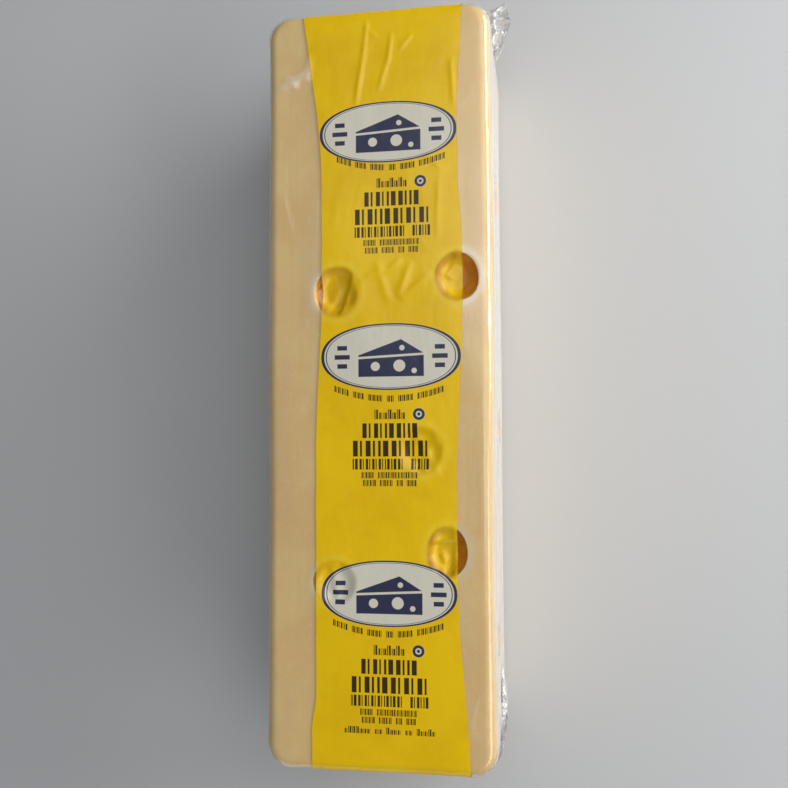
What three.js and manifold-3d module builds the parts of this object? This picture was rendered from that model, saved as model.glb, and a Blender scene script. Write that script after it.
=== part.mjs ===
// A whole block of Swiss-type cheese in a tight shrink-film bag.
// Millimetres, +Z up. The origin is the centre of the flat base that the block rests on.
// X is the width, Y the length with the head end at +Y, and Z the height.
// The block is one solid with eyes (round hollows) in its faces. The bag is one film skin with
// a flat seal across each end, an ear at each corner and a short open-mouthed tail at the foot.

import * as THREE from 'three';
import { mergeVertices } from 'three/addons/utils/BufferGeometryUtils.js';
import Module from 'manifold-3d';

const wasm = await Module();
wasm.setup();

// ---- driving dimensions of the wrapped block ----
const WIDTH = 101;
const LENGTH = 336;
const HEIGHT = 99;
const CORNER_R = 11; // plan corners
const EDGE_R = 8; // edges round the top and the base

// ---- film ----
const FILM_T = 0.5;
const FILM_GAP = 0.3; // clearance between the film and the cheese

// ---- end seals: the two layers of film lie flat together at mid-height ----
// Each seal stands out past its end of the block, and at the corners the spare width of the film
// stands out past the sides as an ear.
const SEAL_SLIT = 0.3; // opening left between the two layers of the foot tail
const SEAL_T = 0.8 + SEAL_SLIT; // both layers and the opening
const MOUTH_W = 60; // width of that opening
const HEAD_SEAL = {
  reach: 21, // how far it stands out past the end
  ear: 8, // how far its ears stand out past the sides
  earBack: 13, // how far back along the side an ear starts
  earTip: 9, // where an ear is widest, past the end of the block
  shoulder: 20, // where the ear turns in, past the end of the block
  endInset: -3, // how far inside the block's side the seal's far corner lies
};
const FOOT_TAIL = { reach: 16, ear: 3, earBack: 31, earTip: -23, shoulder: 0, endInset: 10 };

// ---- eyes: [face, across, along, half width, half length, depth, film dip] ----
// Across and along give the eye's middle as shares of the way from the face's middle to its
// edges. On the top they run along +X and +Y, on a side along +Z and +Y, on an end along +X
// and +Z. The rest are lengths.
const EYES = [
  ['top', -0.356, 0.245, 10.4, 11.2, 9.0, 4.0],
  ['top', 0.695, 0.277, 9.5, 10.8, 9.0, 4.0],
  ['top', 0.364, -0.171, 10.4, 10.4, 6.0, 1.6],
  ['top', 0.59, -0.433, 8.9, 11.2, 8.5, 4.0],
  ['top', -0.382, -0.515, 9.8, 9.8, 6.0, 1.8],
  ['right', 0.16, 0.55, 9.0, 11.0, 8.0, 3.0],
  ['right', -0.28, -0.11, 8.0, 8.5, 6.5, 2.4],
  ['right', 0.24, -0.7, 7.0, 8.0, 6.0, 2.2],
  ['left', 0.04, 0.05, 10.0, 11.5, 8.0, 3.2],
  ['left', 0.36, -0.43, 8.0, 8.0, 6.5, 2.4],
  ['left', -0.32, 0.63, 7.5, 9.0, 6.0, 2.2],
  ['head', -0.4, 0.44, 9.0, 8.5, 7.0, 2.6],
  ['foot', 0.36, -0.48, 9.5, 8.5, 7.0, 2.6],
];

// ---- how finely curves are cut into facets ----
const CORNER_STEPS = 6;
const EDGE_STEPS = 4;
const EAR_STEPS = 6;
const EYE_STEPS = 16;

// ---- solids from geometry, and back ----

// The solid that a closed three.js geometry bounds.
function solid(geometry) {
  const bare = geometry.clone();
  bare.deleteAttribute('normal');
  bare.deleteAttribute('uv');
  const merged = mergeVertices(bare, 1e-4);
  return new wasm.Manifold(
    new wasm.Mesh({
      numProp: 3,
      vertProperties: new Float32Array(merged.attributes.position.array),
      triVerts: new Uint32Array(merged.index.array),
    })
  );
}

// A named mesh of a solid.
function mesh(name, body, look) {
  const data = body.getMesh();
  const geometry = new THREE.BufferGeometry();
  geometry.setAttribute('position', new THREE.BufferAttribute(data.vertProperties, 3));
  geometry.setIndex(new THREE.BufferAttribute(data.triVerts, 1));
  geometry.computeVertexNormals();
  const made = new THREE.Mesh(geometry, new THREE.MeshStandardMaterial(look));
  made.name = name;
  return made;
}

// ---- shapes ----

// A rectangle with round corners, centred on the origin.
function roundedRectangle(width, length, radius) {
  const x = width / 2;
  const y = length / 2;
  const shape = new THREE.Shape();
  shape.absarc(x - radius, y - radius, radius, 0, Math.PI / 2, false);
  shape.absarc(-x + radius, y - radius, radius, Math.PI / 2, Math.PI, false);
  shape.absarc(-x + radius, -y + radius, radius, Math.PI, 1.5 * Math.PI, false);
  shape.absarc(x - radius, -y + radius, radius, 1.5 * Math.PI, 2 * Math.PI, false);
  shape.closePath();
  return shape;
}

// The block's outer form, moved inwards by inset on every side.
function blockForm(inset) {
  const edge = EDGE_R - inset;
  const corner = CORNER_R - inset;
  const flat = roundedRectangle(
    WIDTH - 2 * (inset + edge),
    LENGTH - 2 * (inset + edge),
    corner - edge
  );
  const geometry = new THREE.ExtrudeGeometry(flat, {
    depth: HEIGHT - 2 * (inset + edge),
    curveSegments: CORNER_STEPS,
    bevelEnabled: true,
    bevelThickness: edge,
    bevelSize: edge,
    bevelSegments: EDGE_STEPS,
  });
  geometry.translate(0, 0, inset + edge);
  return solid(geometry);
}

// An ellipsoid on a face, for the eye at the given place. Its middle lies sunk below the face of
// the wrapped block.
function eyeForm([face, across, along], halfWidth, halfLength, depth, sunk) {
  const geometry = new THREE.SphereGeometry(1, EYE_STEPS, EYE_STEPS / 2);
  const side = WIDTH / 2;
  const end = LENGTH / 2;
  const middle = HEIGHT / 2;
  if (face === 'top') {
    geometry.scale(halfWidth, halfLength, depth);
    geometry.translate(across * side, along * end, HEIGHT - sunk);
  } else if (face === 'right' || face === 'left') {
    const x = face === 'right' ? side - sunk : sunk - side;
    geometry.scale(depth, halfLength, halfWidth);
    geometry.translate(x, along * end, middle + across * middle);
  } else {
    const y = face === 'head' ? end - sunk : sunk - end;
    geometry.scale(halfWidth, depth, halfLength);
    geometry.translate(across * side, y, middle + along * middle);
  }
  return solid(geometry);
}

// The plan outline of an end seal, facing +Y. It starts inside the film, swells out past the side
// as an ear, and runs round to the far edge. The other half mirrors it.
function sealOutline(seal) {
  const side = WIDTH / 2;
  const end = LENGTH / 2;
  const back = end - seal.earBack;
  const wide = side + seal.ear;
  const half = new THREE.Path();
  half.moveTo(side - CORNER_R, back);
  half.lineTo(side - FILM_T / 2, back);
  half.quadraticCurveTo(wide, back, wide, end + seal.earTip);
  half.quadraticCurveTo(wide, end + seal.shoulder, side - seal.endInset, end + seal.reach);
  const right = half.getPoints(EAR_STEPS);
  const left = right.map((point) => new THREE.Vector2(-point.x, point.y)).reverse();
  return new THREE.Shape([...right, ...left]);
}

// A flat end seal with its two ears, facing +Y.
function sealForm(seal) {
  const geometry = new THREE.ExtrudeGeometry(sealOutline(seal), {
    depth: SEAL_T,
    bevelEnabled: false,
  });
  geometry.translate(0, 0, (HEIGHT - SEAL_T) / 2);
  return geometry;
}

// The mouth between the two layers of the tail, from inside the bag to past the tail's edge.
function mouthForm() {
  const from = LENGTH / 2 - 2 * FILM_T;
  const to = LENGTH / 2 + FOOT_TAIL.reach + FILM_T;
  const geometry = new THREE.BoxGeometry(MOUTH_W, to - from, SEAL_SLIT);
  geometry.translate(0, -(from + to) / 2, HEIGHT / 2);
  return solid(geometry);
}

// ---- the cheese ----
function cheeseBlock() {
  const cover = FILM_T + FILM_GAP;
  let body = blockForm(cover);
  for (const eye of EYES) {
    const [, , , halfWidth, halfLength, depth] = eye;
    body = body.subtract(eyeForm(eye, halfWidth, halfLength, depth, cover));
  }
  return body;
}

// ---- the bag ----
function shrinkBag() {
  let skin = blockForm(0);
  let inside = blockForm(FILM_T);
  for (const eye of EYES) {
    const [, , , halfWidth, halfLength, , dip] = eye;
    const shrink = FILM_T + 2 * FILM_GAP;
    const across = halfWidth - shrink;
    const along = halfLength - shrink;
    skin = skin.subtract(eyeForm(eye, across, along, dip, 0));
    inside = inside.subtract(
      eyeForm(eye, across + FILM_T, along + FILM_T, dip + FILM_T, 0)
    );
  }
  return skin
    .add(solid(sealForm(HEAD_SEAL)))
    .add(solid(sealForm(FOOT_TAIL).rotateZ(Math.PI)))
    .subtract(inside)
    .subtract(mouthForm());
}

// ---- the finished part ----
const part = new THREE.Group();
part.add(
  mesh('cheese_block', cheeseBlock(), { color: 0xe6cf9c, roughness: 0.55, metalness: 0 }),
  mesh('shrink_bag', shrinkBag(), { color: 0xf0cd06, roughness: 0.25, metalness: 0 })
);

export default part;
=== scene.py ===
"""A whole block of Swiss-type cheese in a printed shrink-film bag, lying on its base.

Metres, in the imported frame: X across, Y along towards the head end, Z up. Sizes in comments and
in the finishes' patterns are millimetres.
"""

import logging
import math
from dataclasses import dataclass, field
from enum import Enum
from typing import Callable

import bpy
import numpy as np
from mathutils import Matrix, Vector


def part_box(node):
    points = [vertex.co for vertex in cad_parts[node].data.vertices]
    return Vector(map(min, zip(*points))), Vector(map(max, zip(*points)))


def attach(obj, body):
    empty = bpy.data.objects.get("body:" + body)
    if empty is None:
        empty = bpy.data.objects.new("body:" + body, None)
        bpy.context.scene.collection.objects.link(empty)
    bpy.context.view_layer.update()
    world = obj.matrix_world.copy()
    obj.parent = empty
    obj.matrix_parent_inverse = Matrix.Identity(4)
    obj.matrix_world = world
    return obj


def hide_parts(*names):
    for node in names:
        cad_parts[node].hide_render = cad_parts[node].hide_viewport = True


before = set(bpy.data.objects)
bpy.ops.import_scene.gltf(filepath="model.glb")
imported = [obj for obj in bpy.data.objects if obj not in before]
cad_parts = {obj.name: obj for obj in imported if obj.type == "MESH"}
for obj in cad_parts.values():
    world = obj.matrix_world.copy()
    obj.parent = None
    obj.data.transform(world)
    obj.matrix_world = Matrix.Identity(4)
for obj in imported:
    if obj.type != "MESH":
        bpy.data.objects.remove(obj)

log = logging.getLogger("cheese")

MM = 0.001
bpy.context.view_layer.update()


class Face(Enum):
    """The faces of the block that an eye can open in."""

    TOP = "top"
    RIGHT = "right"
    LEFT = "left"
    HEAD = "head"
    FOOT = "foot"


@dataclass(frozen=True)
class Fold:
    """A sharp fold in the film over an eye, in shares of the eye's half sizes from its middle."""

    start: tuple[float, float]
    end: tuple[float, float]
    height: float
    before: float
    after: float

    def at(self, a: np.ndarray, b: np.ndarray) -> np.ndarray:
        """The fold's height at each place; it falls away straight on both of its sides.

        Args:
            a: Places across the eye.
            b: Places along the eye.

        Returns:
            Heights in metres.
        """
        first = np.array(self.start)
        run = np.array(self.end) - first
        length = float(np.hypot(*run))
        way = run / length
        s = ((a - first[0]) * way[0] + (b - first[1]) * way[1]) / length
        off = (a - first[0]) * -way[1] + (b - first[1]) * way[0]
        slope = np.where(off < 0.0, -off / self.before, off / self.after)
        ends = smooth_step(-0.06, 0.06, s) * smooth_step(1.06, 0.94, s)
        return self.height * np.clip(1.0 - slope, 0.0, 1.0) * ends


@dataclass(frozen=True)
class Eye:
    """One round hollow in the cheese, with the film drawn into it.

    Its middle is given as shares of the way from the face's middle to its edges, and the rest
    as lengths.
    """

    face: Face
    across: float
    along: float
    half_width: float
    half_length: float
    depth: float
    dip: float
    folds: tuple[Fold, ...] = ()


def loose_folds(seed: int, height: float) -> tuple[Fold, ...]:
    """Folds for an eye away from the printed face.

    Args:
        seed: Seeds their places.
        height: The tallest fold's height.

    Returns:
        Three folds across the eye.
    """
    draw = np.random.default_rng(seed)
    folds = []
    for _ in range(3):
        turn = draw.uniform(0.0, 2.0 * math.pi)
        swing = draw.uniform(1.7, 2.9)
        start = (math.cos(turn), math.sin(turn))
        end = (math.cos(turn + swing), math.sin(turn + swing))
        tall = height * draw.uniform(0.5, 1.0)
        folds.append(Fold(start, end, tall, draw.uniform(0.12, 0.3), draw.uniform(0.2, 0.5)))
    return tuple(folds)


EYES = (
    Eye(
        Face.TOP, -0.356, 0.245, 10.4 * MM, 11.2 * MM, 6.4 * MM, 3.3 * MM,
        (
            Fold((0.74, 0.78), (0.18, -0.92), 1.9 * MM, 0.13, 0.55),
            Fold((-0.95, 0.3), (-0.1, 0.62), 0.5 * MM, 0.25, 0.2),
            Fold((-0.5, -0.8), (0.05, 0.1), 0.45 * MM, 0.2, 0.3),
        ),
    ),
    Eye(
        Face.TOP, 0.695, 0.277, 9.5 * MM, 10.8 * MM, 6.4 * MM, 3.1 * MM,
        (
            Fold((-0.95, 0.38), (-0.48, 0.02), 0.7 * MM, 0.25, 0.35),
            Fold((-0.48, 0.02), (0.05, 0.85), 0.8 * MM, 0.45, 0.25),
            Fold((-0.48, 0.02), (-0.35, -0.8), 0.5 * MM, 0.3, 0.3),
        ),
    ),
    Eye(
        Face.TOP, 0.364, -0.171, 10.4 * MM, 10.4 * MM, 4.5 * MM, 1.3 * MM,
        (
            Fold((-0.3, 0.5), (0.85, 0.35), 0.45 * MM, 0.3, 0.3),
            Fold((0.2, -0.9), (0.5, 0.4), 0.35 * MM, 0.3, 0.3),
        ),
    ),
    Eye(
        Face.TOP, 0.59, -0.433, 8.9 * MM, 11.2 * MM, 6.2 * MM, 3.2 * MM,
        (
            Fold((-0.9, 0.42), (0.45, 0.5), 1.5 * MM, 0.16, 0.4),
            Fold((-0.85, -0.45), (-0.1, -0.12), 0.9 * MM, 0.25, 0.25),
            Fold((0.42, 0.45), (0.38, -0.9), 0.9 * MM, 0.2, 0.3),
            Fold((-0.1, -0.12), (-0.25, -0.92), 0.7 * MM, 0.3, 0.2),
        ),
    ),
    Eye(
        Face.TOP, -0.382, -0.515, 9.8 * MM, 9.8 * MM, 4.5 * MM, 1.6 * MM,
        (
            Fold((-0.9, 0.3), (0.1, 0.85), 0.7 * MM, 0.25, 0.35),
            Fold((-0.2, 0.9), (0.1, -0.7), 0.5 * MM, 0.2, 0.35),
        ),
    ),
    Eye(Face.RIGHT, 0.16, 0.55, 9.0 * MM, 11.0 * MM, 6.0 * MM, 2.8 * MM, loose_folds(1, 1.4 * MM)),
    Eye(Face.RIGHT, -0.28, -0.11, 8.0 * MM, 8.5 * MM, 5.0 * MM, 2.4 * MM, loose_folds(2, 1.2 * MM)),
    Eye(Face.RIGHT, 0.24, -0.7, 7.0 * MM, 8.0 * MM, 4.6 * MM, 2.2 * MM, loose_folds(3, 1.1 * MM)),
    Eye(Face.LEFT, 0.04, 0.05, 10.0 * MM, 11.5 * MM, 6.0 * MM, 3.0 * MM, loose_folds(4, 1.5 * MM)),
    Eye(Face.LEFT, 0.36, -0.43, 8.0 * MM, 8.0 * MM, 5.0 * MM, 2.4 * MM, loose_folds(5, 1.2 * MM)),
    Eye(Face.LEFT, -0.32, 0.63, 7.5 * MM, 9.0 * MM, 4.8 * MM, 2.3 * MM, loose_folds(6, 1.2 * MM)),
    Eye(Face.HEAD, -0.4, 0.44, 9.0 * MM, 8.5 * MM, 5.4 * MM, 2.5 * MM, loose_folds(7, 1.2 * MM)),
    Eye(Face.FOOT, 0.36, -0.48, 9.5 * MM, 8.5 * MM, 5.4 * MM, 2.5 * MM, loose_folds(8, 1.2 * MM)),
)


def smooth_step(low: float, high: float, value: np.ndarray) -> np.ndarray:
    """Runs smoothly from 0 at low to 1 at high.

    Args:
        low: Where the step starts.
        high: Where the step ends; it may be below low.
        value: The values to step.

    Returns:
        The stepped values.
    """
    t = np.clip((value - low) / (high - low), 0.0, 1.0)
    return t * t * (3.0 - 2.0 * t)


class Ripple:
    """A smooth random field: a sum of plane waves with seeded directions and phases."""

    def __init__(self, seed: int, length: float, stretch: tuple[float, float, float]) -> None:
        """Draws the waves.

        Args:
            seed: Seeds the random draws.
            length: The waves' mean length, in metres.
            stretch: How many times longer the pattern is along each axis.
        """
        draw = np.random.default_rng(seed)
        ways = draw.normal(size=(9, 3))
        ways /= np.linalg.norm(ways, axis=1)[:, None]
        spread = draw.uniform(0.7, 1.5, size=9)
        self.waves = ways * (2.0 * math.pi / length * spread)[:, None] / np.array(stretch)
        self.phases = draw.uniform(0.0, 2.0 * math.pi, size=9)

    def at(self, points: np.ndarray) -> np.ndarray:
        """The field at each point, mostly between -1 and 1."""
        return np.sin(points @ self.waves.T + self.phases).sum(axis=1) / 3.5


class Crumple:
    """A faceted random field with sharp ridges, as in creased film."""

    def __init__(self, seed: int, length: float, stretch: tuple[float, float, float]) -> None:
        """Draws the field that bends the ridges and the two that make them.

        Args:
            seed: Seeds the random draws.
            length: The mean distance between ridges, in metres.
            stretch: How many times longer the pattern is along each axis.
        """
        self.fields = [Ripple(seed + i, length * 2.0, stretch) for i in range(3)]

    def at(self, points: np.ndarray) -> np.ndarray:
        """The field at each point, from 0 in the hollows to 1 on the ridges."""
        folds = [1.0 - np.minimum(np.abs(f.at(points)) * 1.6, 1.0) for f in self.fields]
        return np.maximum(np.maximum(folds[0], folds[1] * 0.8), folds[2] * 0.6)


@dataclass(frozen=True)
class Crease:
    """A straight raised fold in the film on top of the block, in millimetres."""

    start: tuple[float, float]
    end: tuple[float, float]
    height: float
    width: float

    def at(self, x: np.ndarray, y: np.ndarray) -> np.ndarray:
        """The crease's height at each place, fading to its ends.

        Args:
            x: Places across, in millimetres.
            y: Places along, in millimetres.

        Returns:
            Heights in millimetres.
        """
        a = np.array(self.start)
        run = np.array(self.end) - a
        length = float(np.hypot(*run))
        way = run / length
        s = (x - a[0]) * way[0] + (y - a[1]) * way[1]
        off = (x - a[0]) * -way[1] + (y - a[1]) * way[0]
        t = np.clip(s / length, 0.0, 1.0)
        fade = np.sin(math.pi * t) ** 0.5 * (s > 0) * (s < length)
        return 0.6 * self.height * fade * np.exp(-((off / self.width) ** 2))


@dataclass(frozen=True)
class Block:
    """The form of the wrapped block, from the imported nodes."""

    half_width: float
    half_length: float
    height: float
    corner: float = 11.0 * MM
    edge: float = 4.8 * MM

    @classmethod
    def from_frame(cls) -> "Block":
        """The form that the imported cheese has, with its film and clearance on it.

        Returns:
            The form.
        """
        film_and_clearance = 0.8 * MM
        far_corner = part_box("cheese_block")[1]
        return cls(*(side + film_and_clearance for side in far_corner))

    @property
    def middle(self) -> float:
        """Half the height, where the bag's end seals lie."""
        return self.height / 2.0

    def rounded(self, points: np.ndarray, inset: float) -> np.ndarray:
        """Moves points of a plain box onto the block's rounded form.

        Args:
            points: Points on a box as large as the block, centred on the origin in plan, with
                its base at height 0.
            inset: How far inside the wrapped block the form lies.

        Returns:
            The moved points.
        """
        corner = self.corner - inset
        edge = self.edge - inset
        half = np.array([self.half_width, self.half_length]) - inset
        scale = np.array([half[0] / self.half_width, half[1] / self.half_length])
        plan = points[:, :2] * scale
        core = np.clip(plan, -(half - corner), half - corner)
        out = plan - core
        reach = np.abs(out).max(axis=1)
        way = out / np.maximum(np.linalg.norm(out, axis=1), 1e-9)[:, None]
        half_height = self.height / 2.0 - inset
        up = (points[:, 2] - self.height / 2.0) * half_height / (self.height / 2.0)
        t = reach - (corner - edge)
        w = np.abs(up) - (half_height - edge)
        both = (t > 0) & (w > 0)
        size = np.maximum(t, w)
        norm = np.maximum(np.hypot(t, w), 1e-9)
        reach = np.where(both, corner - edge + t / norm * size, reach)
        level = np.where(both, half_height - edge + w / norm * size, np.abs(up))
        placed = np.empty_like(points)
        placed[:, :2] = core + way * reach[:, None]
        placed[:, 2] = self.height / 2.0 + np.sign(up) * level
        return placed

    def by_edge(self, middle: Vector) -> bool:
        """Whether a place on the plain box is close to one of its edges.

        Args:
            middle: The place.

        Returns:
            True where it is near two or more of the box's faces.
        """
        reach = self.edge + 2.5 * MM
        sides = self.half_width - abs(middle.x) < reach
        ends = self.half_length - abs(middle.y) < reach
        levels = self.middle - abs(middle.z - self.middle) < reach
        return sides + ends + levels > 1

    def eye_middle(self, eye: Eye, sunk: float) -> tuple[Vector, Vector]:
        """Where an eye's middle is.

        Args:
            eye: The eye.
            sunk: How far under the wrapped block's face its middle lies.

        Returns:
            The middle, and the half sizes of its ellipsoid along X, Y and Z.
        """
        side, end, middle = self.half_width, self.half_length, self.middle
        a, b, d = eye.half_width, eye.half_length, eye.depth
        if eye.face is Face.TOP:
            place = Vector((eye.across * side, eye.along * end, self.height - sunk))
            return place, Vector((a, b, d))
        if eye.face in (Face.RIGHT, Face.LEFT):
            x = side - sunk if eye.face is Face.RIGHT else sunk - side
            place = Vector((x, eye.along * end, middle + eye.across * middle))
            return place, Vector((d, b, a))
        y = end - sunk if eye.face is Face.HEAD else sunk - end
        place = Vector((eye.across * side, y, middle + eye.along * middle))
        return place, Vector((a, d, b))

    def wave(self, points: np.ndarray, normals: np.ndarray) -> np.ndarray:
        """How far the hand-cut block swells or sinks at each point, in metres.

        Args:
            points: Points on the rounded form.
            normals: The form's outward normals there.

        Returns:
            Distances along the normals. The base stays flat.
        """
        slow = Ripple(11, 190.0 * MM, (1.0, 1.0, 1.0)).at(points)
        quick = Ripple(12, 62.0 * MM, (0.8, 1.5, 1.0)).at(points)
        flat = smooth_step(-0.2, -0.8, normals[:, 2])
        low = smooth_step(8.0 * MM, 0.0, points[:, 2])
        return (slow * 0.45 + quick * 0.22) * MM * (1.0 - np.maximum(flat, low))


class Mesher:
    """Small helpers round Blender's own mesh operators."""

    @staticmethod
    def deselect() -> None:
        """Leaves nothing selected."""
        bpy.ops.object.select_all(action="DESELECT")

    @staticmethod
    def points_of(piece: bpy.types.Object) -> np.ndarray:
        """A piece's vertices.

        Args:
            piece: The piece.

        Returns:
            One row for each vertex.
        """
        mesh = piece.data
        flat = np.empty(len(mesh.vertices) * 3)
        mesh.vertices.foreach_get("co", flat)
        return flat.reshape(-1, 3)

    @staticmethod
    def normals_of(piece: bpy.types.Object) -> np.ndarray:
        """A piece's vertex normals.

        Args:
            piece: The piece.

        Returns:
            One row for each vertex.
        """
        mesh = piece.data
        flat = np.empty(len(mesh.vertices) * 3)
        mesh.vertex_normals.foreach_get("vector", flat)
        return flat.reshape(-1, 3)

    @staticmethod
    def move_to(piece: bpy.types.Object, points: np.ndarray) -> None:
        """Moves a piece's vertices to new places.

        Args:
            piece: The piece.
            points: One place for each vertex.
        """
        piece.data.vertices.foreach_set("co", points.astype(np.float32).ravel())
        piece.data.update()

    @staticmethod
    def paint(piece: bpy.types.Object, name: str, values: np.ndarray) -> None:
        """Stores one number for each vertex as an attribute that a finish reads.

        Args:
            piece: The piece.
            name: The attribute's name.
            values: One number for each vertex.
        """
        layer = piece.data.attributes.new(name, "FLOAT", "POINT")
        layer.data.foreach_set("value", values.astype(np.float32))

    @classmethod
    def fine_box(cls, name: str, block: Block, cuts: int) -> bpy.types.Object:
        """A box as large as the block, divided into small even squares.

        Args:
            name: The piece's name.
            block: The block's form.
            cuts: How many cuts each third of its length takes.

        Returns:
            The new piece, with its place in its mesh.
        """
        cls.deselect()
        bpy.ops.mesh.primitive_cube_add(size=1.0, location=(0.0, 0.0, 0.0))
        piece = bpy.context.object
        piece.name = name
        piece.data.name = name
        bpy.ops.object.mode_set(mode="EDIT")
        bpy.ops.mesh.select_all(action="SELECT")
        whole = (2.0 * block.half_width, 2.0 * block.half_length, block.height)
        bpy.ops.transform.resize(value=whole)
        bpy.ops.transform.translate(value=(0.0, 0.0, block.height / 2.0))
        for cut in (-block.half_length / 3.0, block.half_length / 3.0):
            bpy.ops.mesh.select_all(action="SELECT")
            bpy.ops.mesh.bisect(plane_co=(0.0, cut, 0.0), plane_no=(0.0, 1.0, 0.0))
        bpy.ops.mesh.select_all(action="SELECT")
        bpy.ops.mesh.subdivide(number_cuts=cuts)
        bpy.ops.mesh.normals_make_consistent(inside=False)
        bpy.ops.mesh.select_mode(type="FACE")
        bpy.ops.mesh.select_all(action="DESELECT")
        bpy.ops.object.mode_set(mode="OBJECT")
        return piece

    @staticmethod
    def divide(piece: bpy.types.Object, cuts: int, wanted: Callable[[Vector], bool]) -> None:
        """Divides some of a piece's squares more finely.

        Args:
            piece: The piece.
            cuts: How many cuts each edge takes.
            wanted: Whether a square with this middle is divided.
        """
        for polygon in piece.data.polygons:
            polygon.select = wanted(polygon.center)
        bpy.ops.object.mode_set(mode="EDIT")
        bpy.ops.mesh.subdivide(number_cuts=cuts)
        bpy.ops.mesh.select_all(action="DESELECT")
        bpy.ops.object.mode_set(mode="OBJECT")

    @classmethod
    def apply(cls, piece: bpy.types.Object) -> None:
        """Applies all of a piece's modifiers.

        Args:
            piece: The piece.
        """
        cls.deselect()
        piece.select_set(True)
        bpy.context.view_layer.objects.active = piece
        for modifier in list(piece.modifiers):
            bpy.ops.object.modifier_apply(modifier=modifier.name)


# ---------------------------------------------------------------- shader maths


class Num:
    """A number in a shader: one output socket, with arithmetic that adds Math nodes."""

    def __init__(self, maker: "Maker", socket: bpy.types.NodeSocket) -> None:
        """Wraps a socket.

        Args:
            maker: The material that the socket belongs to.
            socket: The output socket.
        """
        self.maker = maker
        self.socket = socket

    def _math(self, operation: str, *values: "Num | float") -> "Num":
        """Adds a Math node on the given values."""
        return self.maker.add("ShaderNodeMath", {"operation": operation}, dict(enumerate(values)))

    def __add__(self, other: "Num | float") -> "Num":
        """Adds."""
        return self._math("ADD", self, other)

    __radd__ = __add__

    def __sub__(self, other: "Num | float") -> "Num":
        """Subtracts."""
        return self._math("SUBTRACT", self, other)

    def __rsub__(self, other: float) -> "Num":
        """Subtracts from a plain number."""
        return self._math("SUBTRACT", other, self)

    def __mul__(self, other: "Num | float") -> "Num":
        """Multiplies."""
        return self._math("MULTIPLY", self, other)

    __rmul__ = __mul__

    def __truediv__(self, other: "Num | float") -> "Num":
        """Divides."""
        return self._math("DIVIDE", self, other)

    def __abs__(self) -> "Num":
        """Drops the sign."""
        return self._math("ABSOLUTE", self)

    def power(self, exponent: float) -> "Num":
        """Raises to a power."""
        return self._math("POWER", self, exponent)

    def floor(self) -> "Num":
        """Rounds down."""
        return self._math("FLOOR", self)

    def part(self) -> "Num":
        """What is left after rounding down."""
        return self._math("FRACT", self)

    def at_least(self, other: "Num | float") -> "Num":
        """The larger of two."""
        return self._math("MAXIMUM", self, other)

    def above(self, edge: float) -> "Num":
        """1 above an edge, 0 below it."""
        return self._math("GREATER_THAN", self, edge)

    def equals(self, value: float) -> "Num":
        """1 where a whole number is this value, 0 elsewhere."""
        return self._math("COMPARE", self, value, 0.5)

    def step(self, low: float, high: float) -> "Num":
        """Runs smoothly from 0 at low to 1 at high.

        Args:
            low: Where the step starts.
            high: Where the step ends; it may be below low.

        Returns:
            The stepped number.
        """
        settings = {"interpolation_type": "SMOOTHSTEP"}
        values = {"Value": self, "From Min": low, "From Max": high}
        return self.maker.add("ShaderNodeMapRange", settings, values)

    def inside(self, soft: float) -> "Num":
        """1 where a signed distance is below zero, with a soft edge."""
        return self.step(soft, -soft)


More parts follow.
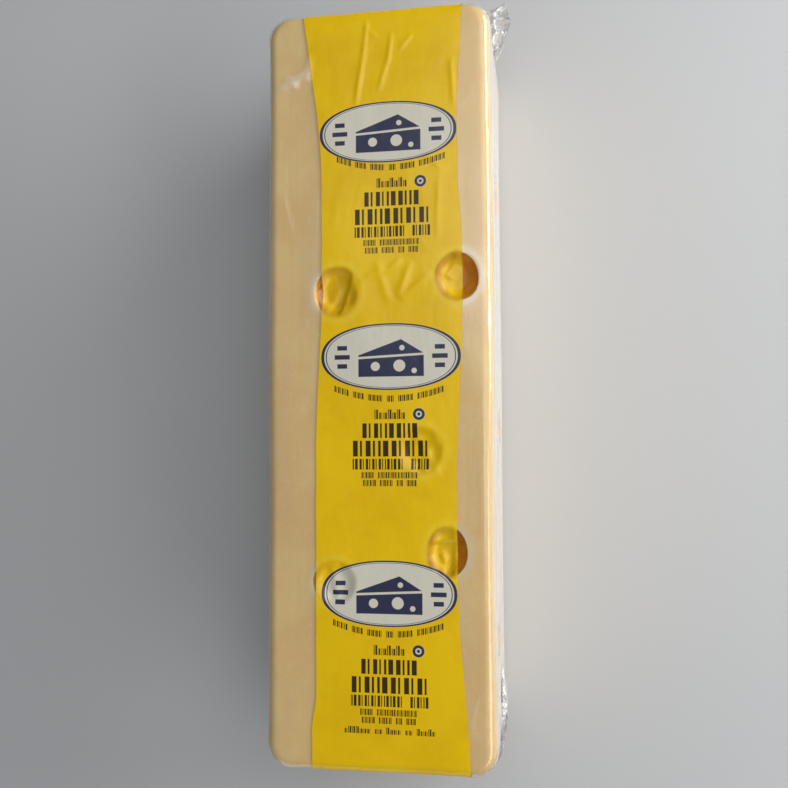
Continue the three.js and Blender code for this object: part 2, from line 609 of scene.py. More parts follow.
class Maker:
    """Builds one material's nodes."""

    def __init__(self, name: str) -> None:
        """Starts an empty material.

        Args:
            name: The material's name.
        """
        self.material = bpy.data.materials.new(name)
        self.material.use_nodes = True
        self.nodes = self.material.node_tree.nodes
        self.links = self.material.node_tree.links
        self.nodes.clear()

    def add(self, kind: str, settings: dict, values: dict, output: int | str = 0) -> Num:
        """Adds a node.

        Args:
            kind: The node's type.
            settings: The node's own settings, which are set first.
            values: A value or a link for each input socket, by name or number.
            output: The output wanted.

        Returns:
            The wanted output.
        """
        node = self.nodes.new(kind)
        for name, value in settings.items():
            setattr(node, name, value)
        for key, value in values.items():
            if isinstance(value, Num):
                self.links.new(value.socket, node.inputs[key])
            else:
                node.inputs[key].default_value = value
        return Num(self, node.outputs[output])

    def point(self) -> Num:
        """The point on the piece, as a vector in metres."""
        return self.add("ShaderNodeTexCoord", {}, {}, "Object")

    def axes(self, point: Num) -> list[Num]:
        """A point's X, Y and Z in millimetres."""
        parts = [self.add("ShaderNodeSeparateXYZ", {}, {0: point}, i) for i in range(3)]
        return [part * (1.0 / MM) for part in parts]

    def stretched(self, point: Num, scale: tuple[float, float, float]) -> Num:
        """A point with each axis scaled."""
        return self.add("ShaderNodeVectorMath", {"operation": "MULTIPLY"}, {0: point, 1: scale})

    def noise(self, point: Num, scale: float, detail: float = 3.0, rough: float = 0.5) -> Num:
        """Smooth noise between 0 and 1 at a point.

        Args:
            point: Where to read it.
            scale: Cells per metre.
            detail: How many finer layers it has.
            rough: How strong the finer layers are.

        Returns:
            The noise.
        """
        values = {"Vector": point, "Scale": scale, "Detail": detail, "Roughness": rough}
        return self.add("ShaderNodeTexNoise", {}, values)

    def random(self, value: Num) -> Num:
        """A random number between 0 and 1 for each whole value."""
        settings = {"noise_dimensions": "1D"}
        return self.add("ShaderNodeTexWhiteNoise", settings, {"W": value})

    def attribute(self, name: str) -> Num:
        """A number painted on the piece's vertices."""
        return self.add("ShaderNodeAttribute", {"attribute_name": name}, {}, "Fac")

    def mix(self, share: Num | float, first: Num | tuple, second: Num | tuple) -> Num:
        """Mixes two colours.

        Args:
            share: How much of the second shows.
            first: A colour or a link.
            second: A colour or a link.

        Returns:
            The mixed colour.
        """
        return self.add(
            "ShaderNodeMix",
            {"data_type": "RGBA", "clamp_factor": True},
            {0: share, 6: first, 7: second},
            2,
        )

    def bump(self, height: Num, distance: float, strength: float) -> Num:
        """Normals for a height.

        Args:
            height: The height, between 0 and 1.
            distance: What a height of 1 stands for, in metres.
            strength: How strongly it shows.

        Returns:
            The normals.
        """
        values = {"Height": height, "Distance": distance, "Strength": strength}
        return self.add("ShaderNodeBump", {}, values)

    def finish(self, surface: Num) -> bpy.types.Material:
        """Puts a shader on the material's output.

        Args:
            surface: The shader.

        Returns:
            The finished material.
        """
        output = self.nodes.new("ShaderNodeOutputMaterial")
        self.links.new(surface.socket, output.inputs["Surface"])
        return self.material


def colour(red: int, green: int, blue: int) -> tuple[float, float, float, float]:
    """A shader colour from display values.

    Args:
        red: From 0 to 255.
        green: From 0 to 255.
        blue: From 0 to 255.

    Returns:
        The linear colour, with an alpha of 1.
    """

    def linear(value: int) -> float:
        """One channel's linear value."""
        share = value / 255.0
        return share / 12.92 if share <= 0.04045 else ((share + 0.055) / 1.055) ** 2.4

    return (linear(red), linear(green), linear(blue), 1.0)


# ---------------------------------------------------------------- finishes


@dataclass(frozen=True)
class CheesePaste:
    """Pale yellow cheese, mottled and faintly streaked. Its eyes' walls are painted a brownish
    orange, partly their own colour and partly the shaded glow of the hollows, darker deeper in as
    painted shade, and a pale painted sheen rings each eye.
    """

    ivory: tuple = colour(240, 209, 143)
    pink: tuple = colour(234, 197, 132)
    straw: tuple = colour(232, 192, 118)
    pale: tuple = colour(248, 230, 190)
    eye_orange: tuple = colour(255, 184, 44)
    eye_brown: tuple = colour(246, 152, 18)
    eye_shade_dark: tuple = colour(206, 118, 18)

    def material(self) -> bpy.types.Material:
        """Builds the material.

        Returns:
            The material.
        """
        m = Maker("cheese_paste")
        point = m.point()
        patches = m.noise(point, 38.0, 3.0, 0.55).step(0.38, 0.64)
        streaks = m.noise(m.stretched(point, (420.0, 14.0, 420.0)), 1.0, 3.0, 0.6)
        specks = m.noise(point, 700.0, 2.0, 0.5)
        body = m.mix(patches * 0.75, self.ivory, self.pink)
        body = m.mix(streaks.step(0.5, 0.78) * 0.35, body, self.straw)
        body = m.mix(specks.step(0.55, 0.8) * 0.3, body, self.pale)
        wall = m.attribute("eye_wall")
        halo = m.attribute("eye_halo_sheen")
        # Painted sheen: a pale ring round each eye where the film stands off the cheese.
        body = m.mix(halo * 0.75, body, self.pale)
        stain = m.noise(point, 300.0, 3.0, 0.6).step(0.35, 0.65)
        # The eyes' walls: a brownish orange that is partly painted shaded glow, darkened towards
        # their bottoms as painted shade.
        inner = m.mix(stain * 0.6, self.eye_orange, self.eye_brown)
        inner = m.mix(m.attribute("eye_shade_depth") * 0.35, inner, self.eye_shade_dark)
        body = m.mix(wall, body, inner)
        grain = m.noise(point, 900.0, 3.0, 0.6) + streaks * 0.6
        shader = m.add(
            "ShaderNodeBsdfPrincipled",
            {},
            {
                "Base Color": body,
                "Roughness": 0.55 - wall * 0.3,
                "IOR": 1.45,
                "Subsurface Weight": 0.3,
                "Subsurface Radius": (1.0, 0.55, 0.25),
                "Subsurface Scale": 0.005,
                "Coat Weight": wall * 0.4,
                "Coat Roughness": 0.2,
                "Normal": m.bump(grain, 0.00012, 0.4),
            },
        )
        return m.finish(shader)


@dataclass(frozen=True)
class Row:
    """One row of plain upright blocks, in millimetres from the middle of the plaque above it.

    Where low is set, most of its blocks are lower than the rest by that share of the height.
    """

    left: float
    right: float
    level: float
    height: float
    cells: int
    gaps: tuple[int, ...] = ()
    seed: float = 0.0
    bow: float = 0.0
    low: float = 0.0

    def mask(self, m: Maker, across: Num, along: Num) -> Num:
        """Where the blocks lie.

        Args:
            m: The material's maker.
            across: Places across.
            along: Places along.

        Returns:
            1 on the blocks, 0 elsewhere.
        """
        pitch = (self.right - self.left) / self.cells
        cell = (across - self.left) / pitch
        index = cell.floor()
        draw = m.random(index + self.seed)
        place = cell.part() - 0.5
        block = abs(place) * pitch - (draw * 0.08 + 0.33) * pitch
        slot = 0.085 * pitch - abs(place + draw.above(0.5) * 0.22 - 0.11) * pitch
        block = block.at_least(slot)
        line = along - self.level
        if self.bow:
            line = line - across * across * self.bow
        block = block.at_least(abs(line) - self.height / 2.0)
        if self.low:
            drop = (1.0 - draw.above(0.6)) * self.low * self.height
            block = block.at_least(line - self.height / 2.0 + drop)
        block = block.at_least(self.left - across).at_least(across - self.right)
        shown = block.inside(0.1)
        for gap in self.gaps:
            shown = shown * (1.0 - index.equals(gap))
        return shown


@dataclass(frozen=True)
class PrintedFilm:
    """Glossy clear film with a yellow band, three pale plaques and rows of dark marks.

    All lengths are millimetres, on X across and Y along from the block's middle.
    """

    height: float
    far_end: float
    tight: bool
    haze: float = 0.012
    shine: float = 0.9
    ink_cover: float = 0.965
    yellow: tuple = colour(252, 208, 2)
    amber: tuple = colour(240, 190, 0)
    shade_brown: tuple = colour(170, 108, 2)
    sheen_lemon: tuple = colour(255, 226, 70)
    plaque: tuple = colour(226, 222, 204)
    navy: tuple = colour(17, 26, 74)
    ink: tuple = colour(34, 30, 10)
    plaque_middles: tuple = ((4.8, 111.6), (5.6, 12.1), (4.2, -90.7))
    text_shifts: tuple = ((2.2, 2.5), (0.0, 0.0), (0.5, 1.0))
    plaque_halves: tuple = ((30.6, 13.6), (30.9, 14.6), (29.8, 14.2))
    rounding: float = 2.2
    rib_pitch: float = 1.4
    rows: tuple = (
        Row(-25.2, 23.4, -18.4, 2.7, 29, (4, 8, 13, 16, 21), seed=67.0, bow=0.0076),
        Row(-7.3, 6.5, -25.2, 4.2, 7, seed=3.0, low=0.32),
        Row(-13.3, 12.1, -32.3, 6.4, 5, seed=11.0),
        Row(-17.7, 16.7, -40.1, 6.9, 6, seed=23.0),
        Row(-17.3, 16.9, -46.9, 4.7, 12, (8,), seed=37.0),
        Row(-13.3, 11.6, -51.7, 2.7, 17, (4,), seed=41.0),
        Row(-12.6, 11.2, -55.1, 2.7, 16, (4, 9, 12), seed=59.0),
    )
    last_row: Row = Row(-20.2, 19.6, -59.4, 2.9, 24, (7, 10, 15, 18), seed=83.0, low=0.32)

    def band(self, m: Maker, point: Num, x: Num, y: Num) -> Num:
        """Where the yellow band lies: nearly straight, and wider towards both ends.

        Args:
            m: The material's maker.
            point: The point on the piece.
            x: Places across.
            y: Places along.

        Returns:
            1 on the band, 0 elsewhere.
        """
        wobble = (m.noise(point, 26.0, 2.0) - 0.5) * 1.2
        left = -25.0 - y.step(85.0, 215.0) * 12.0 - y.step(40.0, -30.0) * 2.8
        left = left - y.step(-135.0, -150.0) * 1.8
        right = 34.1 + y.step(-45.0, 45.0) * 3.3 - y.step(60.0, 92.0) * 2.0
        right = right + y.step(110.0, 170.0) * 2.2 + y.step(-85.0, -172.0) * 5.2
        return (left + wobble - x).inside(0.3) * (x - right - wobble).inside(0.3)

    def by_group(self, y: Num, values: tuple[float, float, float]) -> Num:
        """A value that changes from one printed group to the next.

        Args:
            y: Places along.
            values: The value in the head, middle and foot groups.

        Returns:
            The value at each place.
        """
        first = y.above(38.0) * (values[0] - values[1])
        second = y.above(-62.0) * (values[1] - values[2])
        return first + second + values[2]

    def wedge(self, across: Num, along: Num) -> Num:
        """A plain wedge of cheese with round holes, and three short bars on each side of it.

        Args:
            across: Places across from the plaque's middle.
            along: Places along from the plaque's middle.

        Returns:
            1 on the drawing, 0 elsewhere.
        """
        scale = 1.18
        soft = 0.12
        a = across / scale
        b = along / scale
        foot = -7.4 - b
        slope = b - 0.6 - (a + 12.0) * 0.36
        back = b - 6.4 + (a - 4.0) * 0.62
        shape = foot.at_least(slope).at_least(back)
        shape = shape.at_least(-12.0 - a).at_least(a - 12.5)
        joint = abs(b - 0.2 - a * 0.05) - 0.42
        fill = shape.inside(soft) * (1.0 - joint.inside(soft))
        holes = ((-5.6, -3.6, 1.7), (3.4, -3.4, 2.2), (8.9, -5.3, 1.0), (4.4, 3.2, 1.0))
        for hole_x, hole_y, radius in holes:
            off_x = a - hole_x
            off_y = b - hole_y
            far = (off_x * off_x + off_y * off_y).power(0.5) - radius
            fill = fill * (1.0 - far.inside(soft))
        for level, half in ((4.0, 2.2), (0.0, 3.4), (-4.0, 2.2)):
            side = abs(abs(across - 0.2) - 21.6) - half
            fill = fill.at_least(side.at_least(abs(along - level) - 1.0).inside(soft))
        return fill

    def roundel(self, across: Num, along: Num) -> tuple[Num, Num]:
        """A small ring with a dot in it.

        Args:
            across: Places across from the middle of the plaque above it.
            along: Places along from the middle of the plaque above it.

        Returns:
            Where its disc lies, and where its dark parts lie.
        """
        a = across - 12.4
        b = along + 25.2
        far = (a * a + b * b).power(0.5)
        disc = (far - 2.6).inside(0.12)
        dark = abs(far - 2.0).step(0.75, 0.5).at_least((far - 0.7).inside(0.12))
        return disc, disc * dark

    def material(self) -> bpy.types.Material:
        """Builds the material.

        Returns:
            The material.
        """
        m = Maker("printed_film" if self.tight else "printed_film_seals")
        point = m.point()
        x, y, z = m.axes(point)
        inked, tone = self.printing(m, point, x, y, z)
        solid = inked.step(0.0, 0.12)
        wall = m.attribute("eye_wall")
        end = abs(y).step(self.far_end - 3.0, self.far_end - 0.5)
        over_eye = m.attribute("eye_open")
        # Whitening of the clear film: partly haze, partly painted sheen and painted highlights.
        milky_sheen = self.milky_sheen(m, point, z, end) * (1.0 - over_eye)
        facing = m.add("ShaderNodeLayerWeight", {}, {"Blend": 0.5}, "Facing")
        glare = facing.power(4.0) * 0.75 + 0.065
        clear = (glare + self.haze) * (1.0 - over_eye * 0.7) + milky_sheen
        # Painted sheen: the lifted ring round each eye shows more of the film's white.
        clear = clear + m.attribute("eye_ring_sheen") * 0.08
        shown = clear + inked * (self.ink_cover - clear)
        rough = m.noise(point, 80.0, 3.0) * 0.12 + 0.13
        film = m.add(
            "ShaderNodeBsdfPrincipled",
            {},
            {
                "Base Color": m.mix(solid, (1.0, 1.0, 1.0, 1.0), tone),
                "Metallic": (1.0 - solid) * self.shine * (1.0 - milky_sheen.step(0.0, 0.2) * 0.75),
                "Roughness": rough + inked * (wall * 0.25 + 0.05),
                "IOR": 1.5,
                "Normal": m.bump(self.creasing(m, point, y, z, end), 0.0004, 0.45),
            },
        )
        nothing = m.add("ShaderNodeBsdfTransparent", {}, {})
        return m.finish(m.add("ShaderNodeMixShader", {}, {0: shown, 1: nothing, 2: film}))

    def printing(self, m: Maker, point: Num, x: Num, y: Num, z: Num) -> tuple[Num, Num]:
        """The ink: the band, the plaques and the marks.

        Args:
            m: The material's maker.
            point: The point on the piece.
            x: Places across.
            y: Places along.
            z: Heights.

        Returns:
            Where there is ink, and its colour, with painted shade and a painted pale sheen round the
            eyes mixed in.
        """
        band = self.band(m, point, x, y)
        if self.tight:
            band = band * z.step(self.height / 2.0 - 0.4, self.height / 2.0 + 0.4)
        across = x - self.by_group(y, tuple(place[0] for place in self.plaque_middles))
        along = y - self.by_group(y, tuple(place[1] for place in self.plaque_middles))
        text_across = across - self.by_group(y, tuple(shift[0] for shift in self.text_shifts))
        text_along = along - self.by_group(y, tuple(shift[1] for shift in self.text_shifts))
        upper = z.step(self.height / 2.0 + 10.0, self.height / 2.0 + 12.0)
        marks = self.last_row.mask(m, text_across, text_along) * y.step(-61.0, -63.0)
        for row in self.rows:
            marks = marks.at_least(row.mask(m, text_across, text_along))
        marks = marks * upper
        half_x = self.by_group(y, tuple(half[0] for half in self.plaque_halves))
        half_y = self.by_group(y, tuple(half[1] for half in self.plaque_halves))
        share_x = abs(across / half_x).power(self.rounding)
        share_y = abs(along / half_y).power(self.rounding)
        ring = (share_x + share_y).power(1.0 / self.rounding)
        plaque = ring.step(1.004, 0.996) * upper
        rim = ring.step(0.952, 0.958) * ring.step(1.01, 1.0)
        rim = rim.at_least(abs(ring - 0.925).step(0.01, 0.004))
        disc, dark = self.roundel(text_across, text_along)
        white = plaque.at_least(disc * upper)
        blue = (rim * plaque).at_least(self.wedge(across, along) * plaque).at_least(dark * upper)

        wall = m.attribute("eye_wall")
        patches = m.noise(point, 45.0, 4.0, 0.6).step(0.35, 0.7)
        tone = m.mix(patches * 0.6, self.yellow, self.amber)
        # Painted sheen: the ink is paler on the lifted ring round each eye.
        tone = m.mix(m.attribute("eye_ring_sheen") * 0.3, tone, self.sheen_lemon)
        # Painted shade: the ink darkens where the film clings to an eye's wall, as the dark hollow
        # seen through it.
        tone = m.mix(wall * 0.75, tone, self.shade_brown)
        tone = m.mix(marks * (1.0 - white) * 0.97, tone, self.ink)
        # The plaques take the same painted shade over the eyes.
        tone = m.mix(white, tone, m.mix(wall * 0.35, self.plaque, self.shade_brown))
        return band.at_least(white), m.mix(blue * 0.96, tone, self.navy)

    def milky_sheen(self, m: Maker, point: Num, z: Num, end: Num) -> Num:
        """Whitish smears under the film and streaks down the sides, partly haze and partly painted
        sheen, and fold lines painted white as highlights.

        Args:
            m: The material's maker.
            point: The point on the piece.
            z: Heights.
            end: 1 on the end faces.

        Returns:
            How white the clear film is.
        """
        smears = m.noise(m.stretched(point, (90.0, 12.0, 90.0)), 1.0, 4.0, 0.6).step(0.42, 0.72)
        streaks = m.noise(m.stretched(point, (420.0, 20.0, 420.0)), 1.0, 3.0, 0.6).step(0.4, 0.75)
        sides = z.step(self.height - 0.2, self.height - 3.4) * (1.0 - end)
        # Painted sheen: white smears and white sides stand in for the film's glare; fold lines are
        # painted white as highlights.
        white = smears * 0.09 + sides * (streaks * 0.16 + 0.1) + m.attribute("fold_line_highlight") * 0.2
        return white if self.tight else white * 0.3

    def creasing(self, m: Maker, point: Num, y: Num, z: Num, end: Num) -> Num:
        """The film's finest folds: long ones on the sides, gathers on the ends, ribs on a seal.

        Args:
            m: The material's maker.
            point: The point on the piece.
            y: Places along.
            z: Heights.
            end: 1 on the end faces.

        Returns:
            Their height.
        """
        side = z.step(self.height - 6.0, self.height - 15.0) * (1.0 - end)
        fine = m.noise(m.stretched(point, (500.0, 110.0, 500.0)), 1.0, 4.0, 0.6)
        long_folds = m.noise(m.stretched(point, (230.0, 16.0, 230.0)), 1.0, 3.0, 0.55)
        long_folds = (1.0 - abs(long_folds - 0.5) * 7.0).at_least(0.0)
        gathers = m.noise(m.stretched(point, (120.0, 1.0, 22.0)), 1.0, 2.0, 0.5)
        gathers = (1.0 - abs(gathers - 0.5) * 5.0).at_least(0.0)
        coarse = m.noise(point, 120.0, 3.0, 0.5)
        folds = fine * 0.35 + coarse * 0.8 + long_folds * side * 2.0 + gathers * end * 1.5
        if self.tight:
            return folds
        rib = abs((y / self.rib_pitch).part() - 0.5) * 2.0
        return folds + rib * abs(y).step(self.far_end + 8.0, self.far_end + 10.0) * 1.2


@dataclass(frozen=True)
class Worktop:
    """Plain pale satin surface under the block."""

    pale: tuple = colour(200, 202, 204)
    paler: tuple = colour(207, 209, 210)

    def material(self) -> bpy.types.Material:
        """Builds the material.

        Returns:
            The material.
        """
        m = Maker("worktop")
        tone = m.mix(m.noise(m.point(), 3.0, 2.0), self.pale, self.paler)
        shader = m.add(
            "ShaderNodeBsdfPrincipled", {}, {"Base Color": tone, "Roughness": 0.4}
        )
        return m.finish(shader)


# ---------------------------------------------------------------- pieces


@dataclass
class Cheese:
    """The block of cheese itself, with its eyes."""

    block: Block
    inset: float = 0.8 * MM
    cuts: int = 40
    halo: float = 4.0 * MM
    pieces: list = field(default_factory=list)

    def build(self) -> None:
        """Rounds a finely divided box, cuts the eyes out and gives it its hand-cut waviness."""
        piece = Mesher.fine_box("cheese", self.block, self.cuts)
        Mesher.divide(piece, 2, self.block.by_edge)
        points = self.block.rounded(Mesher.points_of(piece), self.inset)
        Mesher.move_to(piece, points)
        self.cut(piece, [self.cutter(eye) for eye in EYES])
        self.finish_walls(piece)
        self.pieces.append(piece)

    def cutter(self, eye: Eye) -> bpy.types.Object:
        """A slightly uneven ellipsoid as large as one eye.

        Args:
            eye: The eye.

        Returns:
            The ellipsoid.
        """
        place, half = self.block.eye_middle(eye, self.inset)
        Mesher.deselect()
        bpy.ops.mesh.primitive_uv_sphere_add(
            segments=64, ring_count=32, radius=1.0, location=place, scale=half
        )
        cutter = bpy.context.object
        Mesher.deselect()
        cutter.select_set(True)
        bpy.ops.object.transform_apply(location=True, rotation=True, scale=True)
        points = Mesher.points_of(cutter)
        middle = np.array(place)
        bumps = Ripple(40 + int(place.y * 1000) % 50, 16.0 * MM, (1.0, 1.0, 1.0)).at(points)
        Mesher.move_to(cutter, middle + (points - middle) * (1.0 + 0.035 * bumps)[:, None])
        return cutter

    def cut(self, piece: bpy.types.Object, cutters: list[bpy.types.Object]) -> None:
        """Cuts the eyes out of the block.

        Args:
            piece: The block.
            cutters: One ellipsoid for each eye, none of which touch each other.
        """
        Mesher.deselect()
        for cutter in cutters:
            cutter.select_set(True)
        bpy.context.view_layer.objects.active = cutters[0]
        bpy.ops.object.join()
        modifier = piece.modifiers.new("eyes", "BOOLEAN")
        modifier.operation = "DIFFERENCE"
        modifier.solver = "EXACT"
        modifier.object = cutters[0]
        Mesher.apply(piece)
        bpy.data.objects.remove(cutters[0])

    def finish_walls(self, piece: bpy.types.Object) -> None:
        """Paints masks for the eyes' walls, for the painted shade deep in them and for the painted
        pale sheen round their rims, then bends the whole block and smooths its shading.

        Args:
            piece: The block with its eyes cut.
        """
        points = Mesher.points_of(piece)
        wall = np.zeros(len(points))
        dark = np.zeros(len(points))
        halo = np.zeros(len(points))
        for eye in EYES:
            place, half = self.block.eye_middle(eye, self.inset)
            far = np.linalg.norm((points - np.array(place)) / np.array(half), axis=1)
            size = min(eye.half_width, eye.half_length)
            beyond = (far - 1.0) * size
            depth = self.depth_under(points, eye)
            near = far < 1.08
            deep = smooth_step(0.1 * MM, 2.5 * MM, depth)
            wall = np.where(near, np.maximum(wall, deep), wall)
            # Painted shade: the deeper part of each eye's wall is marked to be painted darker.
            share = depth / eye.depth
            dark = np.where(near, np.maximum(dark, smooth_step(0.35, 1.0, share)), dark)
            # Painted sheen: the pale ring just outside each eye's rim.
            ring = smooth_step(self.halo, 0.2 * MM, np.abs(beyond)) * (depth < 0.3 * MM)
            halo = np.maximum(halo, ring)
        Mesher.paint(piece, "eye_wall", wall)
        Mesher.paint(piece, "eye_shade_depth", dark)
        Mesher.paint(piece, "eye_halo_sheen", halo)
        shift = self.block.wave(points, self.outward(points))
        Mesher.move_to(piece, points + self.outward(points) * shift[:, None])
        Mesher.deselect()
        piece.select_set(True)
        bpy.context.view_layer.objects.active = piece
        bpy.ops.object.shade_smooth_by_angle(angle=math.radians(38.0))

    def depth_under(self, points: np.ndarray, eye: Eye) -> np.ndarray:
        """How far under an eye's face each point lies.

        Args:
            points: Points on the cheese.
            eye: The eye.

        Returns:
            Depths in metres.
        """
        if eye.face is Face.TOP:
            return self.block.height - self.inset - points[:, 2]
        if eye.face is Face.RIGHT:
            return self.block.half_width - self.inset - points[:, 0]
        if eye.face is Face.LEFT:
            return self.block.half_width - self.inset + points[:, 0]
        if eye.face is Face.HEAD:
            return self.block.half_length - self.inset - points[:, 1]
        return self.block.half_length - self.inset + points[:, 1]

    def outward(self, points: np.ndarray) -> np.ndarray:
        """The way out of the block at each point, smooth round its edges.

        Args:
            points: Points on or in the block.

        Returns:
            One unit vector for each point.
        """
        half = np.array([self.block.half_width, self.block.half_length, self.block.middle])
        centred = points - np.array([0.0, 0.0, self.block.middle])
        reach = half - self.block.corner
        out = centred - np.clip(centred, -reach, reach)
        small = np.linalg.norm(out, axis=1) < 1e-6
        out[small] = centred[small]
        return out / np.maximum(np.linalg.norm(out, axis=1), 1e-9)[:, None]


@dataclass(frozen=True)
class Seal:
    """The sizes of the flat seal across one end of the bag.

    Its end is 1 at the head and -1 at the foot. It reaches past the block's end, and its ears
    stand out past the sides: each starts behind the end, is widest at ear_tip past it, and the
    right one may have a raised point.
    """

    name: str
    end: float
    reach: float
    ear: float
    ear_back: float
    ear_tip: float
    point: float
    seed: int
    thickness: float = 0.16 * MM
    droop: float = 5.0 * MM
    tucked_in: float = 0.8 * MM
    columns: int = 180
    rows: int = 48


@dataclass
class Bag:
    """The shrink-film bag: its tight skin and the flat seal across each end.

    The heights of its folds are in millimetres.
    """

    block: Block
    cheese: Cheese
    film_inset: float = 0.35 * MM
    cuts: int = 42
    long_fold: float = 0.22
    fine_fold: float = 0.08
    rim_fold: float = 0.5
    pieces: list = field(default_factory=list)
    creases: tuple = (
        Crease((-4.1, 163.0), (-5.8, 147.0), 0.5, 0.9),
        Crease((-5.2, 151.0), (-9.6, 124.0), 0.6, 1.1),
        Crease((6.8, 156.0), (5.2, 142.0), 0.5, 0.9),
        Crease((5.6, 146.0), (0.9, 130.0), 0.45, 1.0),
        Crease((16.5, 155.0), (10.0, 148.0), 0.4, 0.9),
        Crease((-5.4, 160.0), (0.6, 154.0), 0.3, 0.8),
        Crease((33.0, 143.0), (34.4, 121.0), 0.45, 1.0),
        Crease((-30.5, 141.0), (-47.0, 132.5), 0.7, 2.4),
        Crease((-30.8, 150.0), (-31.5, 136.0), 0.5, 1.6),
        Crease((-33.5, 128.0), (-44.0, 146.0), 0.35, 1.4),
        Crease((14.9, 53.5), (9.0, 38.0), 0.6, 1.7),
        Crease((11.0, 54.5), (2.6, 48.5), 0.45, 1.6),
        Crease((24.0, 48.0), (10.0, 37.0), 0.55, 1.8),
        Crease((-0.5, 55.0), (5.2, 35.0), 0.4, 1.8),
        Crease((-9.0, 44.0), (4.0, 52.0), 0.35, 1.6),
        Crease((26.5, 63.0), (27.5, 92.0), 0.3, 1.2),
        Crease((22.0, 101.0), (30.0, 92.0), 0.3, 1.2),
        Crease((17.0, -22.0), (27.0, -40.0), 0.3, 1.5),
        Crease((-26.0, -78.0), (-12.0, -73.0), 0.4, 1.3),
        Crease((-30.0, 30.0), (-42.0, 14.0), 0.3, 1.4),
        Crease((-38.0, 66.0), (-45.0, 92.0), 0.3, 1.6),
        Crease((39.0, -150.0), (44.0, -128.0), 0.4, 1.4),
    )

    end_creases: tuple = (
        Crease((-47.0, 51.0), (-27.0, 90.0), 2.4, 1.7),
        Crease((-44.0, 52.0), (-8.0, 68.0), 1.9, 1.6),
        Crease((47.0, 51.0), (31.0, 88.0), 2.4, 1.7),
        Crease((42.0, 52.0), (10.0, 74.0), 1.9, 1.7),
        Crease((-12.0, 51.0), (-15.0, 77.0), 1.3, 1.6),
        Crease((17.0, 51.0), (19.0, 72.0), 1.2, 1.5),
        Crease((-47.0, 48.0), (-26.0, 11.0), 2.4, 1.7),
        Crease((-40.0, 47.0), (-10.0, 27.0), 1.7, 1.6),
        Crease((46.0, 48.0), (25.0, 9.0), 2.4, 1.7),
        Crease((40.0, 47.0), (4.0, 33.0), 1.7, 1.6),
        Crease((8.0, 48.0), (10.0, 22.0), 1.3, 1.6),
    )

    seals: tuple = (
        Seal("head_seal", 1.0, 21.0 * MM, 8.0 * MM, 8.0 * MM, 11.0 * MM, 4.2 * MM, 21),
        Seal("foot_tail", -1.0, 14.5 * MM, 3.0 * MM, 37.0 * MM, -20.0 * MM, 0.0, 61),
    )

    def build(self) -> None:
        """Builds the skin and the two seals."""
        self.pieces.append(self.skin())
        for seal in self.seals:
            self.pieces.append(self.flat(seal))

    def skin(self) -> bpy.types.Object:
        """The film drawn tight over the block, with its dips, creases and gathers.

        Returns:
            The skin.
        """
        piece = Mesher.fine_box("film_skin", self.block, self.cuts)
        height, far_end = self.block.height, self.block.half_length
        Mesher.divide(piece, 2, lambda middle: middle.z > height - 10.0 * MM)
        Mesher.divide(
            piece, 1, lambda middle: abs(middle.y) > far_end * 0.999 and middle.z < height - 12.0 * MM
        )
        form = self.block.rounded(Mesher.points_of(piece), self.film_inset)
        Mesher.move_to(piece, form)
        ways = self.cheese.outward(form)
        normals = Mesher.normals_of(piece)
        lift = self.block.wave(form, ways)
        lift = lift + self.wrinkles(form, normals)
        points = form + ways * lift[:, None]
        moves, walls, rings, opens = self.dips(form)
        points = points + moves
        points[:, 2] = np.maximum(points[:, 2], 0.02 * MM)
        Mesher.move_to(piece, points)
        Mesher.paint(piece, "eye_wall", walls)
        Mesher.paint(piece, "eye_ring_sheen", rings)
        Mesher.paint(piece, "eye_open", opens)
        on_top = self.on_top(form[:, 0] / MM, form[:, 1] / MM) * (normals[:, 2] > 0.5)
        # Painted highlight: the top's creases are marked to be painted white.
        Mesher.paint(piece, "fold_line_highlight", smooth_step(0.1, 0.4, on_top))
        Mesher.deselect()
        piece.select_set(True)
        bpy.context.view_layer.objects.active = piece
        bpy.ops.object.shade_smooth()
        return piece

    def wrinkles(self, points: np.ndarray, normals: np.ndarray) -> np.ndarray:
        """How far the film's own folds stand out from the cheese, in metres.

        Args:
            points: Points on the skin.
            normals: Its normals there.

        Returns:
            Distances, none below zero.
        """
        block = self.block
        x, y, z = (points[:, i] / MM for i in range(3))
        top = smooth_step(0.5, 0.95, normals[:, 2])
        side = smooth_step(0.4, 0.9, np.abs(normals[:, 0]))
        end = smooth_step(0.4, 0.9, np.abs(normals[:, 1]))
        base = smooth_step(-0.3, -0.8, normals[:, 2])
        long_folds = Crumple(31, 3.4 * MM, (1.0, 9.0, 1.0)).at(points)
        fine_folds = Crumple(35, 2.4 * MM, (1.0, 4.0, 1.0)).at(points)
        patchy = np.clip(Ripple(39, 70.0 * MM, (1.0, 2.0, 1.0)).at(points) * 0.8 + 0.45, 0.0, 1.0)
        lift = side * (long_folds * self.long_fold + fine_folds * self.fine_fold) * patchy
        rim = smooth_step(20.0 * MM, 4.0 * MM, block.half_length - np.abs(points[:, 1]))
        lift = lift + side * rim * long_folds * self.rim_fold
        lift = lift + end * self.pleats(x, z)
        for crease in self.end_creases:
            lift = lift + end * crease.at(x * np.sign(points[:, 1]), z)
        lift = lift + top * self.on_top(x, y)
        return np.maximum(lift, 0.0) * (1.0 - base) * MM

